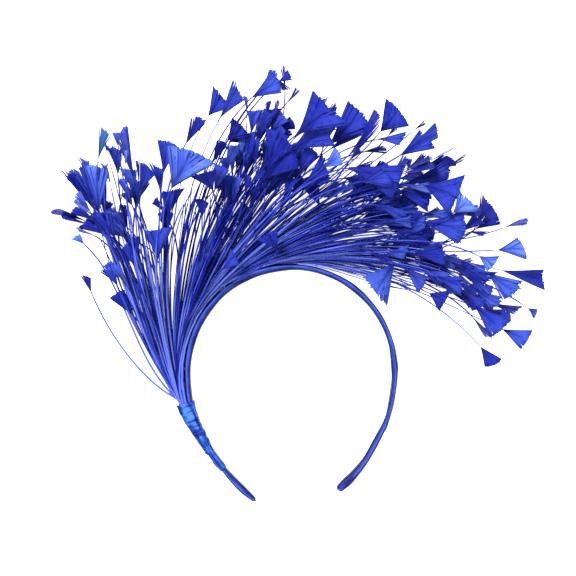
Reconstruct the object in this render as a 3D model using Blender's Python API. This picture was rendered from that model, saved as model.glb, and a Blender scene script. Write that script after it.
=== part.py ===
"""A feather fascinator that lies on its side: a satin-covered band, a one-sided plume of stripped
quills with trimmed vane tips, and the satin tape that binds the quills to the band's left leg."""

import math
from collections import namedtuple

import bmesh
import bpy
import numpy as np
from mathutils import Vector

MM = 0.001

# The photograph's scale, and the three pixels that tie it to the object
PX = 0.62 * MM
ORIGIN_PX = (297, 282)
RING_PX = (291, 370)
EYE_PX = (288, 288)
EYE_HEIGHT = 1200 * MM

# The band, lying with its width upright
RING_RADIUS = 63.9 * MM
BAND_THICKNESS = 3.8 * MM
BAND_WIDTH = 8.0 * MM
BAND_SIDES = 8
BAND_RINGS = 64
BOUND_RISE = 0.7 * MM
BOUND_EASE = 9 * MM
LEFT_TIP_LENGTH = 12 * MM
LEFT_TIP_PINCH = 0.35
RIGHT_END_LENGTH = 3 * MM
RIGHT_END_PINCH = 0.2
ARC_STEPS = 12
GAP = 0.3 * MM

# How round a cross-section's corners are, from 0 for square to 1 for an ellipse
PADDED_CORNERS = 0.6
SLEEVE_CORNERS = 0.45
SLEEVE_HOLE_CORNERS = 0.35

# The legs of the band below its half circle, from the middle of the ring, in millimetres
LegRow = namedtuple("LegRow", "x y thickness")
LEFT_LEG = (
    LegRow(-22.0, -80.8, 0.9),
    LegRow(-32.6, -71.0, 3.2),
    LegRow(-41.6, -61.0, 3.6),
    LegRow(-49.8, -50.4, 3.6),
    LegRow(-57.4, -35.3, 3.6),
    LegRow(-62.6, -18.0, 3.7),
)
RIGHT_LEG = (
    LegRow(63.1, -12.4, 3.7),
    LegRow(60.0, -27.9, 3.7),
    LegRow(54.3, -40.3, 3.9),
    LegRow(46.5, -54.6, 4.4),
    LegRow(38.2, -65.1, 4.9),
    LegRow(32.4, -70.6, 4.6),
    LegRow(29.4, -73.0, 3.6),
)

# The tape, placed by the length of band from its left tip
TAPE_FROM = 28 * MM
TAPE_TO = 72 * MM
TAPE_TURNS = 11
TAPE_WALL = 0.5 * MM
TAPE_LIP = 0.45 * MM
TAPE_SLANT = 0.35
TAPE_SIDES = 16

# The head of the plume, outside the band: the length of band, its width in the band's plane, and
# its lowest and highest height, in millimetres
HeadRow = namedtuple("HeadRow", "along width low high")
HEAD = (
    HeadRow(42, 0.5, 2.8, 5.0),
    HeadRow(52, 2.0, 1.9, 6.0),
    HeadRow(64, 3.8, 1.3, 6.7),
    HeadRow(73, 4.6, 1.3, 6.9),
    HeadRow(84, 6.4, 1.0, 8.6),
    HeadRow(104, 7.0, 0.8, 9.8),
    HeadRow(134, 6.6, 0.8, 9.6),
    HeadRow(166, 5.2, 0.8, 8.4),
    HeadRow(196, 3.4, 0.8, 6.8),
    HeadRow(218, 2.0, 1.0, 5.0),
    HeadRow(229, 0.8, 1.6, 3.6),
)
HEAD_RINGS = 26
HEAD_SIDES = 8

# A lock is a quill that ends in a trimmed vane
QUILL_ROOT = 1.1 * MM
QUILL_NECK = 0.7 * MM
QUILL_STEPS = (0.0, 0.1, 0.25, 0.42, 0.6, 0.8, 1.0)
QUILL_HANDLES = (0.33, 0.30)
ROOT_LENGTH = 18 * MM
ROOT_CLEAR = 1.5 * MM
ROOT_DEPTH = 0.55
FANNED_DEPTH = 0.8
FIRST_LEAVE = 77 * MM
LAST_LEAVE = 222 * MM
FAN_SHARE = 1.7
MOST_TURN = math.radians(24)
LIFT_POWER = 1.2
HIGHEST_LIFT = 60 * MM
VANE_EDGE = 0.45 * MM
VANE_HALF_ANGLE = math.radians(20)
VANE_HALF_WIDTH = 7.0 * MM
VANE_STEPS = (0.55, 1.0)
VANE_CLIMB = 0.5

# The locks: the pixel where the vane starts and its height in millimetres, the vane's heading in
# degrees anticlockwise from +X, its length in pixels, and half its opening angle in degrees
LockRow = namedtuple("LockRow", "px_x px_y lift heading length_px half_angle")
LEFT_LOCKS = (
    LockRow(80, 222, 2, 155, 30, 14),
    LockRow(83, 244, 3, 150, 14, 20),
    LockRow(93, 216, 34, 132, 26, 18),
    LockRow(91, 203, 16, 125, 37, 14),
    LockRow(98, 213, 46, 100, 49, 15),
    LockRow(89, 171, 22, 115, 16, 8),
    LockRow(111, 187, 12, 101, 24, 8),
    LockRow(99, 160, 40, 80, 32, 10),
    LockRow(118, 175, 20, 98, 28, 14),
    LockRow(119, 147, 30, 100, 17, 15),
    LockRow(131, 178, 26, 97, 50, 5),
    LockRow(125, 168, 50, 88, 18, 8),
    LockRow(137, 206, 36, 72, 42, 14),
    LockRow(132, 205, 44, 107, 33, 9),
    LockRow(133, 207, 14, 122, 17, 16),
    LockRow(112, 237, 8, 145, 32, 20),
    LockRow(116, 240, 28, 120, 32, 15),
    LockRow(128, 231, 18, 103, 28, 10),
    LockRow(160, 190, 14, 98, 25, 14),
    LockRow(164, 170, 32, 92, 29, 14),
    LockRow(166, 235, 10, 90, 25, 18),
    LockRow(168, 215, 22, 88, 25, 18),
    LockRow(157, 261, 30, 85, 31, 20),
    LockRow(140, 270, 20, 115, 32, 18),
    LockRow(118, 287, 16, 123, 25, 18),
    LockRow(134, 316, 8, 128, 30, 16),
    LockRow(146, 300, 22, 112, 22, 14),
)
MIDDLE_LOCKS = (
    LockRow(173, 192, 54, 55, 48, 24),
    LockRow(185, 145, 24, 62, 31, 14),
    LockRow(207, 116, 10, 58, 25, 20),
    LockRow(221, 118, 34, 60, 36, 15),
    LockRow(247, 116, 16, 92, 19, 7),
    LockRow(212, 164, 30, 61, 26, 14),
    LockRow(228, 141, 18, 68, 25, 16),
    LockRow(251, 134, 40, 80, 24, 17),
    LockRow(255, 150, 22, 68, 50, 12),
    LockRow(262, 150, 14, 52, 45, 16),
    LockRow(251, 98, 46, 38, 32, 19),
    LockRow(260, 92, 28, 55, 27, 14),
    LockRow(285, 93, 2, 95, 29, 13),
    LockRow(286, 104, 12, 48, 21, 10),
    LockRow(213, 191, 42, 128, 20, 20),
    LockRow(214, 192, 36, 73, 28, 16),
    LockRow(202, 218, 26, 92, 19, 18),
    LockRow(228, 208, 30, 85, 28, 7),
    LockRow(240, 165, 12, 75, 35, 15),
    LockRow(255, 205, 20, 58, 60, 13),
    LockRow(262, 180, 34, 45, 45, 16),
    LockRow(296, 130, 50, 52, 42, 24),
    LockRow(292, 150, 40, 30, 40, 18),
    LockRow(330, 135, 26, 45, 38, 22),
    LockRow(329, 150, 16, 30, 25, 20),
    LockRow(348, 160, 34, 57, 58, 7),
    LockRow(323, 168, 52, 38, 22, 20),
    LockRow(320, 207, 18, 115, 32, 16),
    LockRow(300, 190, 24, 40, 36, 18),
    LockRow(345, 196, 14, 20, 34, 18),
    LockRow(360, 182, 44, 8, 30, 16),
)
RIGHT_LOCKS = (
    LockRow(377, 130, 12, 50, 35, 25),
    LockRow(379, 139, 32, 3, 27, 17),
    LockRow(401, 155, 40, 38, 43, 18),
    LockRow(403, 168, 20, 55, 14, 20),
    LockRow(412, 168, 12, 18, 52, 11),
    LockRow(347, 167, 36, -12, 58, 17),
    LockRow(425, 185, 46, -5, 38, 20),
    LockRow(408, 209, 18, 38, 26, 18),
    LockRow(453, 213, 48, 38, 27, 20),
    LockRow(452, 214, 22, 5, 30, 12),
    LockRow(476, 229, 8, 52, 34, 24),
    LockRow(504, 228, 19, 18, 25, 9),
    LockRow(499, 251, 36, 5, 28, 18),
    LockRow(421, 222, 40, -8, 46, 20),
    LockRow(385, 225, 26, -8, 45, 18),
    LockRow(478, 255, 50, -28, 22, 20),
    LockRow(503, 270, 2, -16, 42, 14),
    LockRow(490, 275, 44, -42, 38, 17),
    LockRow(528, 308, 2, -36, 11, 22),
    LockRow(466, 283, 14, -20, 28, 14),
    LockRow(429, 293, 16, -22, 22, 24),
    LockRow(480, 305, 30, -42, 42, 24),
    LockRow(472, 316, 12, -50, 28, 7),
    LockRow(503, 328, 24, -33, 32, 22),
    LockRow(480, 346, 2, -48, 25, 20),
    LockRow(490, 300, 18, -22, 30, 8),
    LockRow(392, 264, 30, -118, 38, 22),
    LockRow(400, 268, 22, -35, 35, 20),
    LockRow(398, 192, 28, -10, 34, 20),
    LockRow(388, 246, 12, 6, 34, 18),
    LockRow(418, 247, 34, -4, 34, 18),
    LockRow(432, 240, 10, 22, 30, 16),
    LockRow(444, 263, 20, -14, 32, 18),
    LockRow(452, 290, 8, -30, 34, 18),
    LockRow(436, 276, 42, -24, 28, 18),
    LockRow(466, 262, 26, -22, 30, 18),
    LockRow(414, 258, 6, -30, 28, 18),
    LockRow(372, 206, 20, 4, 34, 18),
    LockRow(356, 222, 8, 12, 30, 16),
)

# Colours in linear light
FinishRow = namedtuple("FinishRow", "red green blue roughness")
FINISHES = {
    "headband_satin": FinishRow(0.045, 0.070, 0.560, 0.38),
    "binding_satin": FinishRow(0.040, 0.200, 0.850, 0.34),
    "quill_blue": FinishRow(0.022, 0.034, 0.420, 0.42),
}

WELD_DISTANCE = 0.02 * MM
SHARP_ANGLE = math.radians(40)
UP = Vector((0, 0, 1))


def clear_scene():
    for obj in list(bpy.data.objects):
        bpy.data.objects.remove(obj, do_unlink=True)


def new_collection(name):
    collection = bpy.data.collections.new(name)
    bpy.context.scene.collection.children.link(collection)
    return collection


def finish(name):
    row = FINISHES[name]
    material = bpy.data.materials.new(name)
    material.use_nodes = True
    shader = material.node_tree.nodes["Principled BSDF"]
    shader.inputs["Base Color"].default_value = (row.red, row.green, row.blue, 1.0)
    shader.inputs["Roughness"].default_value = row.roughness
    shader.inputs["Metallic"].default_value = 0.0
    return material


def ease(value, low, high):
    share = min(max((value - low) / (high - low), 0.0), 1.0)
    return share * share * (3 - 2 * share)


def turned(vector, angle):
    cos, sin = math.cos(angle), math.sin(angle)
    return Vector((vector.x * cos - vector.y * sin, vector.x * sin + vector.y * cos, 0))


def bearing(vector):
    return math.atan2(vector.y, vector.x)


def seen_at(px_x, px_y, height):
    """The point at this height that shows at this pixel."""
    eye = Vector((EYE_PX[0] - ORIGIN_PX[0], ORIGIN_PX[1] - EYE_PX[1])) * PX
    flat = Vector((px_x - ORIGIN_PX[0], ORIGIN_PX[1] - px_y)) * PX
    flat = eye + (flat - eye) * (1 - height / EYE_HEIGHT)
    return Vector((flat.x, flat.y, height))


def smooth_rows(rows, count):
    """Rows at even distances along a smooth curve through these rows, and the curve's length.
    The first two columns are a place in the plane."""
    rows = np.array(rows, float)
    ahead, behind = np.vstack([rows[1:], rows[-1:]]), np.vstack([rows[:1], rows[:-1]])
    slopes = (ahead - behind) / 2
    t = np.linspace(0, 1, 9)[:-1, None]
    pieces = []
    for here, there, leave, arrive in zip(rows[:-1], rows[1:], slopes[:-1], slopes[1:]):
        ends = (2 * t**3 - 3 * t**2 + 1) * here + (3 * t**2 - 2 * t**3) * there
        pieces.append(ends + (t**3 - 2 * t**2 + t) * leave + (t**3 - t**2) * arrive)
    fine = np.vstack(pieces + [rows[-1:]])
    steps = np.linalg.norm(np.diff(fine[:, :2], axis=0), axis=1)
    far = np.concatenate([[0], np.cumsum(steps)])
    even = np.linspace(0, far[-1], count)
    return np.column_stack([np.interp(even, far, column) for column in fine.T]), far[-1]


def band_line():
    """The middle line of the band, from the left tip round to the right end."""
    angles = [math.pi * (1 - step / ARC_STEPS) for step in range(ARC_STEPS + 1)]
    arc = [(math.cos(a) * RING_RADIUS, math.sin(a) * RING_RADIUS, BAND_THICKNESS) for a in angles]
    left, right = (np.array(leg) * MM for leg in (LEFT_LEG, RIGHT_LEG))
    return smooth_rows(np.vstack([left, arc, right]), 6 * BAND_RINGS)


RING_MIDDLE = seen_at(*RING_PX, 0.0)
BAND_ROWS, BAND_LENGTH = band_line()
BAND_EVEN = np.linspace(0, BAND_LENGTH, len(BAND_ROWS))
ARC_FROM = BAND_EVEN[np.argmin(np.hypot(BAND_ROWS[:, 0] + RING_RADIUS, BAND_ROWS[:, 1]))]


def band_at(along):
    """The band's middle line after this length: its place, the way on along it, the way out from
    the ring, and the band's thickness there."""
    x, y, thickness = (np.interp(along, BAND_EVEN, column) for column in BAND_ROWS.T)
    ahead, behind = (
        Vector([np.interp(along + step, BAND_EVEN, column) for column in BAND_ROWS.T[:2]])
        for step in (MM, -MM)
    )
    on = (ahead - behind).to_3d().normalized()
    return RING_MIDDLE + Vector((x, y, 0)), on, Vector((-on.y, on.x, 0)), thickness


def band_span(along):
    """The band's lowest and highest height: it is pressed narrower where the tape binds it."""
    bound = ease(along, TAPE_FROM - BOUND_EASE, TAPE_FROM)
    bound *= 1 - ease(along, TAPE_TO, TAPE_TO + BOUND_EASE)
    return bound * BOUND_RISE, BAND_WIDTH - bound * BOUND_RISE


def head_at(along):
    """The head's width, lowest and highest height at this length of band."""
    table = np.array(HEAD) * MM
    return tuple(float(np.interp(along, table[:, 0], column)) for column in table.T[1:])


def rounded(middle, out, inner, outer, low, high, sides, corners):
    """A ring of points with round corners, from inner to outer and from low to high."""
    ring = []
    furthest = math.cos(math.pi / sides) ** corners
    for side in range(sides):
        angle = math.tau * (side + 0.5) / sides
        across = math.copysign(abs(math.cos(angle)) ** corners, math.cos(angle)) / furthest
        upright = math.copysign(abs(math.sin(angle)) ** corners, math.sin(angle)) / furthest
        place = middle + out * ((inner + outer) / 2 + across * (outer - inner) / 2)
        place.z = (low + high) / 2 + upright * (high - low) / 2
        ring.append(place)
    return ring


def flat_ring(place, across, up, half_width, half_height):
    return [
        place + across * half_width,
        place + up * half_height,
        place - across * half_width,
        place - up * half_height,
    ]


def skin(name, rings, inner_rings=()):
    """A closed mesh through rings of points. With inner rings it is a sleeve, open at both ends."""
    mesh = bmesh.new()
    loops = [[mesh.verts.new(point) for point in ring] for ring in rings]
    pairs = list(zip(loops, loops[1:]))
    if inner_rings:
        walls = [[mesh.verts.new(point) for point in ring] for ring in reversed(inner_rings)]
        pairs += list(zip(walls, walls[1:])) + [(loops[-1], walls[0]), (walls[-1], loops[0])]
    else:
        mesh.faces.new(loops[0])
        mesh.faces.new(loops[-1])
    sides = len(rings[0])
    for one, two in pairs:
        for side in range(sides):
            after = (side + 1) % sides
            mesh.faces.new((one[side], one[after], two[after], two[side]))
    bmesh.ops.recalc_face_normals(mesh, faces=mesh.faces)
    data = bpy.data.meshes.new(name)
    mesh.to_mesh(data)
    mesh.free()
    data.shade_smooth()
    data.set_sharp_from_angle(angle=SHARP_ANGLE)
    return bpy.data.objects.new(name, data)


def headband():
    rings = []
    for along in np.linspace(0, BAND_LENGTH, BAND_RINGS):
        middle, _, out, thickness = band_at(along)
        low, high = band_span(along)
        tip = 1 - LEFT_TIP_PINCH * (1 - ease(along, 0, LEFT_TIP_LENGTH))
        end = 1 - RIGHT_END_PINCH * ease(along, BAND_LENGTH - RIGHT_END_LENGTH, BAND_LENGTH)
        top = low + (high - low) * tip * end
        half = thickness / 2
        rings.append(rounded(middle, out, -half, half, low, top, BAND_SIDES, PADDED_CORNERS))
    return skin("headband", rings)


def binding_tape():
    """A sleeve round the band and the quill ends. Each turn of tape shows as a slanted lip."""
    outside, inside = [], []
    steps = 2 * TAPE_TURNS
    first_quill = HEAD[0].along * MM
    for step in range(steps + 1):
        along = TAPE_FROM + (TAPE_TO - TAPE_FROM) * step / steps
        wall = TAPE_WALL + TAPE_LIP * (step % 2)
        middle, on, out, thickness = band_at(along)
        quills = (head_at(along)[0] + 2 * GAP) * ease(along, first_quill - 2 * MM, first_quill)
        inner, outer = -thickness / 2 - GAP, thickness / 2 + GAP + quills
        low, high = BOUND_RISE - GAP, BAND_WIDTH - BOUND_RISE + GAP
        hole = rounded(middle, out, inner, outer, low, high, TAPE_SIDES, SLEEVE_HOLE_CORNERS)
        inner -= wall
        outer += wall
        ring = rounded(middle, out, inner, outer, 0, BAND_WIDTH, TAPE_SIDES, SLEEVE_CORNERS)
        if 0 < step < steps:
            ring = [point + on * (point - middle).dot(out) * TAPE_SLANT for point in ring]
        outside.append(ring)
        inside.append(hole)
    return skin("binding_tape", outside, inside)


def plume_head():
    rings = []
    for along in np.linspace(HEAD[0].along * MM, HEAD[-1].along * MM, HEAD_RINGS):
        middle, _, out, thickness = band_at(along)
        width, low, high = head_at(along)
        inner = thickness / 2 + GAP
        outer = inner + width
        rings.append(rounded(middle, out, inner, outer, low, high, HEAD_SIDES, PADDED_CORNERS))
    return skin("quill_plume", rings)


def leaves_at(target):
    """The length of band at which a quill leaves the band, on the tangent, for this place."""
    away = target - RING_MIDDLE
    edge = RING_RADIUS + BAND_THICKNESS / 2
    angle = bearing(away) + math.acos(min(edge / away.to_2d().length, 1.0))
    along = ARC_FROM + (math.pi - angle % math.tau) * RING_RADIUS
    return min(max(along, FIRST_LEAVE), LAST_LEAVE)


def quill_places(neck, heading):
    """The middle line of a quill, from inside the head to its neck."""
    start = max(leaves_at(neck) - ROOT_LENGTH, TAPE_TO + ROOT_CLEAR)
    middle, on, out, thickness = band_at(start)
    width, low, high = head_at(start)
    chord = (neck - middle).to_2d().to_3d()
    swing = max(0.0, math.remainder(bearing(chord) - bearing(on), math.tau))
    fanned = ease(swing, 0, MOST_TURN)
    depth = ROOT_DEPTH + (FANNED_DEPTH - ROOT_DEPTH) * fanned
    root = middle + out * (thickness / 2 + GAP + width * depth)
    root.z = low + QUILL_ROOT + (high - low - 2 * QUILL_ROOT) * min(neck.z / HIGHEST_LIFT, 1.0)
    turn = math.remainder(heading - bearing(chord), math.tau)
    arrive = turned(chord.normalized(), max(-MOST_TURN, min(turn, MOST_TURN)))
    reach = chord.length
    one = root + turned(on, swing * FAN_SHARE) * reach * QUILL_HANDLES[0]
    two = neck - arrive * reach * QUILL_HANDLES[1]
    places = []
    for t in QUILL_STEPS:
        place = root * (1 - t) ** 3 + one * 3 * t * (1 - t) ** 2
        place += two * 3 * t * t * (1 - t) + neck * t**3
        place.z = root.z + (neck.z - root.z) * t**LIFT_POWER
        places.append(place)
    return places, (neck.z - root.z) / reach


def quill_rings(places):
    rings = []
    for index, (t, place) in enumerate(zip(QUILL_STEPS, places)):
        before, after = places[max(index - 1, 0)], places[min(index + 1, len(places) - 1)]
        along = (after - before).normalized()
        across = along.cross(UP).normalized()
        half = QUILL_ROOT + (QUILL_NECK - QUILL_ROOT) * t
        rings.append(flat_ring(place, across, across.cross(along), half, half))
    return rings


def vane_rings(neck, heading, length, seen, slope, side):
    """A flat wedge, turned about its quill until it looks as narrow as it is seen."""
    half_width = min(length * math.tan(max(seen, VANE_HALF_ANGLE)), VANE_HALF_WIDTH)
    half_width = max(half_width, length * math.tan(seen))
    roll = side * math.acos(min(length * math.tan(seen) / half_width, 1.0))
    way = Vector((math.cos(heading), math.sin(heading), 0))
    across = way.cross(UP) * math.cos(roll) + UP * math.sin(roll)
    tip = neck + way * length + UP * (slope * VANE_CLIMB * length)
    tip.z = max(tip.z, half_width * abs(across.z) + VANE_EDGE)
    return [
        flat_ring(neck.lerp(tip, share), across, across.cross(way), half_width * share, VANE_EDGE)
        for share in VANE_STEPS
    ]


def lock(name, row, side):
    neck = seen_at(row.px_x, row.px_y, row.lift * MM)
    heading, seen = math.radians(row.heading), math.radians(row.half_angle)
    places, slope = quill_places(neck, heading)
    rings = quill_rings(places)
    rings += vane_rings(neck, heading, row.length_px * PX, seen, slope, side)
    for ring in rings:
        for point in ring:
            point.z = max(point.z, 0.0)
    return skin(name, rings)


def quill_plume(locks):
    """The head, with every lock joined to it."""
    head = plume_head()
    for number, row in enumerate(LEFT_LOCKS + MIDDLE_LOCKS + RIGHT_LOCKS):
        obj = lock(f"lock_{number + 1:02d}", row, side=(-1) ** (number + 1))
        obj.hide_render = True
        obj.display_type = "WIRE"
        locks.objects.link(obj)
    union = head.modifiers.new("locks", "BOOLEAN")
    union.operation = "UNION"
    union.operand_type = "COLLECTION"
    union.collection = locks
    # Quills cross at such small angles that the exact solver leaves slivers between them
    union.solver = "MANIFOLD"
    weld = head.modifiers.new("weld", "WELD")
    weld.merge_threshold = WELD_DISTANCE
    return head


def main():
    clear_scene()
    fascinator = new_collection("fascinator")
    locks = new_collection("plume_locks")
    pieces = {
        "headband_satin": headband(),
        "binding_satin": binding_tape(),
        "quill_blue": quill_plume(locks),
    }
    for name, obj in pieces.items():
        obj.data.materials.append(finish(name))
        fascinator.objects.link(obj)


main()
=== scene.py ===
# %% [markdown]
# # A feather fascinator, lying on a pale table
#
# The real thing is a narrow headband covered in royal-blue satin. A spray of stripped quills is
# bound to its left leg with azure satin tape, follows the band round, and leaves it one quill after
# another. Each quill is bare and glossy, and ends in a small feather fan with a trimmed edge.
#
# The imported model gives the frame: the band, the tape and the plume at their real size, in metres,
# with +X to the right, +Y to the top of the picture and +Z up. The looks are built around it.

import math
from collections import namedtuple

import bmesh
import bpy
import numpy as np
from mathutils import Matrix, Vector


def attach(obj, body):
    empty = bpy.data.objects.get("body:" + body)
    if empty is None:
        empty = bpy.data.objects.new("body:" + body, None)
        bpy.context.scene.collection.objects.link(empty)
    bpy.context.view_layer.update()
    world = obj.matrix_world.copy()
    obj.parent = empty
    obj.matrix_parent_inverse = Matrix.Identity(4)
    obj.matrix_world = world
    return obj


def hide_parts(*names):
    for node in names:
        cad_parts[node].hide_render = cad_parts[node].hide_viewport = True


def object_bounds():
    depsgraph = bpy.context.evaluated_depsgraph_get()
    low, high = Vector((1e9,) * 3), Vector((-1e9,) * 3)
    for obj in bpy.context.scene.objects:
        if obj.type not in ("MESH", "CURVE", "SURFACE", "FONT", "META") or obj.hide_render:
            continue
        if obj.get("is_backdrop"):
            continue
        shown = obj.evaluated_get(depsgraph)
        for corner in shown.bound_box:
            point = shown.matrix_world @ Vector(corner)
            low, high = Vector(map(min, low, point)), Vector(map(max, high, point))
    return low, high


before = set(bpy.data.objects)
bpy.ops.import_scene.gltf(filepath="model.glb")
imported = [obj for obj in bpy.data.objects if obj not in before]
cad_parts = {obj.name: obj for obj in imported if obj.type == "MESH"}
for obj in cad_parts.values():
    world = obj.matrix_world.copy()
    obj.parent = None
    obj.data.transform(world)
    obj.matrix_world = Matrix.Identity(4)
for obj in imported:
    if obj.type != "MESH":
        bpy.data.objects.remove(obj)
CAD_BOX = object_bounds()
MM = 0.001
print("the frame holds", sorted(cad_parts))

# %% [markdown]
# ## The camera, and the picture's scale
#
# The object is seen from straight above. The camera stands 1.2 m over the table, where it sees
# 0.62 mm of the table in each pixel. An orthographic camera would show every height at one scale,
# but a real lens doesn't. So everything that is listed in pixels is placed through `seen_at`, which
# gives the point at a chosen height that shows at a pixel: a raised quill tip comes nearer to the
# camera, so it has to stand further in than the same pixel on the table.

# %% The camera
PX = 0.62 * MM
PICTURE = 576
EYE_PX = (288, 288)
ORIGIN_PX = (297, 282)
RING_PX = (291, 370)
EYE_HEIGHT = 1200 * MM
EYE = Vector(((EYE_PX[0] - ORIGIN_PX[0]) * PX, (ORIGIN_PX[1] - EYE_PX[1]) * PX, EYE_HEIGHT))


def seen_at(px_x, px_y, height):
    """The point at this height that shows at this pixel."""
    flat = Vector(((px_x - ORIGIN_PX[0]) * PX, (ORIGIN_PX[1] - px_y) * PX, 0))
    place = EYE.lerp(flat, 1 - height / EYE_HEIGHT)
    return np.array((place.x, place.y, height))


lens = bpy.data.cameras.new("camera")
lens.sensor_fit = "HORIZONTAL"
lens.angle = 2 * math.atan(PICTURE * PX / 2 / EYE_HEIGHT)
camera = bpy.data.objects.new("camera", lens)
camera.location = EYE
bpy.context.scene.collection.objects.link(camera)
bpy.context.scene.camera = camera
print("the camera sees", round(PICTURE * PX / MM, 1), "mm across")

# %% [markdown]
# ## Table and light
#
# Small dark feathers need a bright surround: the table is nearly white, lit by a wide sky and by
# one soft sun from the upper left, whose wide angle blurs the shadows. A picture of a real room
# could light it too, but two plain lights are easier to judge and to change. The table also glows a
# little, as a light table does, so that the shadows between the quills stay faint. The standard
# view transform keeps the blue as saturated as dyed feathers are.

# %% Table and light
FLOOR_SIZE = 8.0
SKY = 0.95
SUN = 4.3
SUN_ANGLE = math.radians(14)
SUN_TILT = (math.radians(30), 0, math.radians(225))
WHITE = (1, 1, 1, 1)
TABLE_LOOK = {
    "Base Color": (0.86, 0.86, 0.87, 1),
    "Roughness": 0.8,
    "Specular IOR Level": 0.1,
    "Emission Color": WHITE,
    "Emission Strength": 0.92,
}

bpy.context.scene.view_settings.view_transform = "Standard"
world = bpy.data.worlds.new("studio")
world.use_nodes = True
world.node_tree.nodes["Background"].inputs["Color"].default_value = WHITE
world.node_tree.nodes["Background"].inputs["Strength"].default_value = SKY
bpy.context.scene.world = world
sun = bpy.data.lights.new("sun", "SUN")
sun.energy = SUN
sun.angle = SUN_ANGLE
sun_object = bpy.data.objects.new("sun", sun)
sun_object.rotation_euler = SUN_TILT
bpy.context.scene.collection.objects.link(sun_object)


def table():
    flat = bmesh.new()
    bmesh.ops.create_grid(flat, x_segments=1, y_segments=1, size=FLOOR_SIZE / 2)
    mesh = bpy.data.meshes.new("table")
    flat.to_mesh(mesh)
    flat.free()
    white = bpy.data.materials.new("table_white")
    white.use_nodes = True
    for socket, value in TABLE_LOOK.items():
        white.node_tree.nodes["Principled BSDF"].inputs[socket].default_value = value
    mesh.materials.append(white)
    made = bpy.data.objects.new("table", mesh)
    bpy.context.scene.collection.objects.link(made)
    made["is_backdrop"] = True


table()
print("a white table and one soft sun stand ready")

# %% [markdown]
# ## The band's line
#
# Band, tape and quills all follow one line: the middle of the band, which is a half circle over two
# legs. The legs are short tables of places from the middle of the ring, with the band's thickness.
# Blender's own curves could carry this line, but every quill has to ask it where the band is, so a
# smooth curve is worked out through the rows, and `band_at` reads it at any length from the left
# tip. It gives the place, the way on along the band, the way out from the ring, and the thickness.

# %% The legs of the band
def rows_of(kind, *rows):
    """A table from its rows, with a name for each number."""
    return tuple(kind(*row) for row in rows)


LegRow = namedtuple("LegRow", "x y thickness")
LEFT_LEG = rows_of(
    LegRow,
    (-22.0, -80.8, 0.9),
    (-32.6, -71.0, 3.2),
    (-41.6, -61.0, 3.6),
    (-49.8, -50.4, 3.6),
    (-57.4, -35.3, 3.6),
    (-62.6, -18.0, 3.7),
)
RIGHT_LEG = rows_of(
    LegRow,
    (63.1, -12.4, 3.7),
    (60.0, -27.9, 3.7),
    (54.3, -40.3, 3.9),
    (46.5, -54.6, 4.1),
    (38.6, -64.7, 5.0),
    (35.2, -68.2, 6.0),
    (31.6, -71.5, 5.6),
    (28.6, -74.0, 4.4),
)
print("the legs run through", len(LEFT_LEG), "and", len(RIGHT_LEG), "places")

# %% A smooth curve through them
CURVE_SPLITS = 8


def smooth_rows(rows, count):
    """Rows at even distances along a smooth curve through these rows, and the curve's length."""
    rows = np.array(rows, float)
    ahead, behind = np.vstack([rows[1:], rows[-1:]]), np.vstack([rows[:1], rows[:-1]])
    slopes = (ahead - behind) / 2
    t = np.linspace(0, 1, CURVE_SPLITS, endpoint=False)[:, None]
    pieces = []
    for here, there, leave, arrive in zip(rows[:-1], rows[1:], slopes[:-1], slopes[1:]):
        ends = (2 * t**3 - 3 * t**2 + 1) * here + (3 * t**2 - 2 * t**3) * there
        pieces.append(ends + (t**3 - 2 * t**2 + t) * leave + (t**3 - t**2) * arrive)
    fine = np.vstack(pieces + [rows[-1:]])
    far = np.concatenate([[0], np.cumsum(np.linalg.norm(np.diff(fine[:, :2], axis=0), axis=1))])
    even = np.linspace(0, far[-1], count)
    return np.column_stack([np.interp(even, far, column) for column in fine.T]), far[-1]


# %% The band's line
RING_RADIUS = 63.9 * MM
BAND_THICKNESS = 3.8 * MM
ARC_STEPS = 12
LINE_STEPS = 400


def band_line():
    angles = np.linspace(math.pi, 0, ARC_STEPS + 1)
    arc = np.column_stack([np.cos(angles), np.sin(angles), np.zeros(ARC_STEPS + 1)])
    arc = arc * RING_RADIUS + (0, 0, BAND_THICKNESS)
    return smooth_rows(np.vstack([np.array(LEFT_LEG) * MM, arc, np.array(RIGHT_LEG) * MM]), LINE_STEPS)


RING_MIDDLE = seen_at(*RING_PX, 0.0)
BAND_ROWS, BAND_LENGTH = band_line()
BAND_EVEN = np.linspace(0, BAND_LENGTH, LINE_STEPS)
ARC_FROM = BAND_EVEN[np.argmin(np.hypot(BAND_ROWS[:, 0] + RING_RADIUS, BAND_ROWS[:, 1]))]


def band_at(along):
    """Places, ways on, ways out and thicknesses of the band at these lengths from its left tip."""
    along = np.atleast_1d(along)
    x, y, thickness = (np.interp(along, BAND_EVEN, column) for column in BAND_ROWS.T)
    ahead, behind = (
        np.column_stack([np.interp(along + step, BAND_EVEN, c) for c in BAND_ROWS.T[:2]])
        for step in (MM, -MM)
    )
    on = (ahead - behind) / np.linalg.norm(ahead - behind, axis=1)[:, None]
    zero = np.zeros(len(along))
    out = np.column_stack([-on[:, 1], on[:, 0], zero])
    place = RING_MIDDLE + np.column_stack([x, y, zero])
    return place, np.column_stack([on, zero]), out, thickness


print("the band is", round(BAND_LENGTH / MM), "mm long")

# %% [markdown]
# ## Rods that are bent into place
#
# The band, the tape, every quill and every barb begin as one straight rod, a cone with equal ends
# whose long edges are cut. `straight_rod` makes it with mesh operators and hands it over as
# arrays: the vertex places on a unit circle with z from 0 to 1, and the triangles. A Curve modifier
# could bend each rod, but there are thousands of them. Bending arrays is quick enough for that, and
# `joined` puts all copies into one mesh, with numbers at each vertex that the materials read.

# %% Rods
Rod = namedtuple("Rod", "places faces")
HALF_ROD = 0.5


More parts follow.
